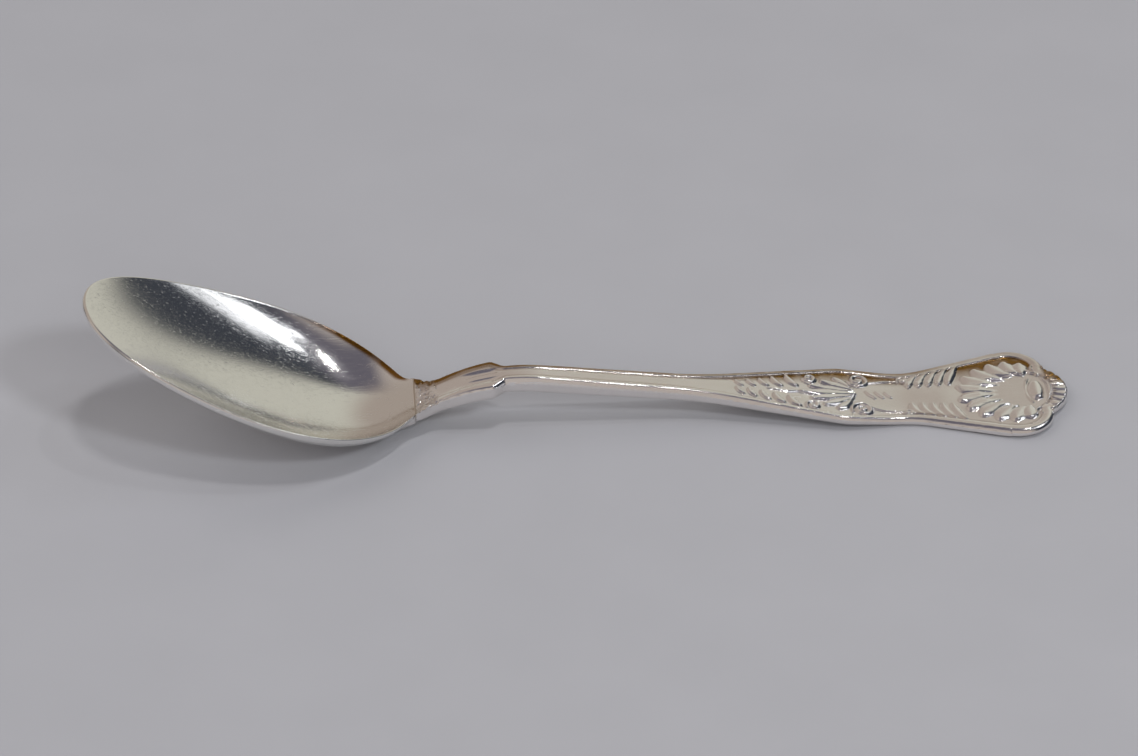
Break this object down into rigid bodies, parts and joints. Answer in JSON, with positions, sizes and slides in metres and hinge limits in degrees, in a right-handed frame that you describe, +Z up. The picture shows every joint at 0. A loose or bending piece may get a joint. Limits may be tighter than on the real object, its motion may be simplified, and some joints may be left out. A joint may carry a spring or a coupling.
{
  "type": "teaspoon",
  "caption": "Old silver teaspoon: egg-shaped tilted bowl soldered to an arched handle with thread edges, leaf and palmette ornament and a shell end.",
  "frame": {"origin": "middle of the bounding box on the table under the spoon", "axes": "+X runs from the tip of the bowl to the shell end of the handle, +Z is up from the table, +Y is to the left of +X; the spoon is the same on both sides of Y = 0"},
  "size_m": [0.1378, 0.031, 0.0229],
  "materials": {
    "bowl_silver": "polished silver with fine wear scratches",
    "handle_silver": "struck silver, polished on the high parts and tarnished brown in the hollows",
    "silver_solder": "dull silver solder, a little pitted"
  },
  "bodies": {
    "root": {"bowl": "bowl_silver", "handle": "handle_silver", "solder_joint": "silver_solder"}
  },
  "joints": []
}
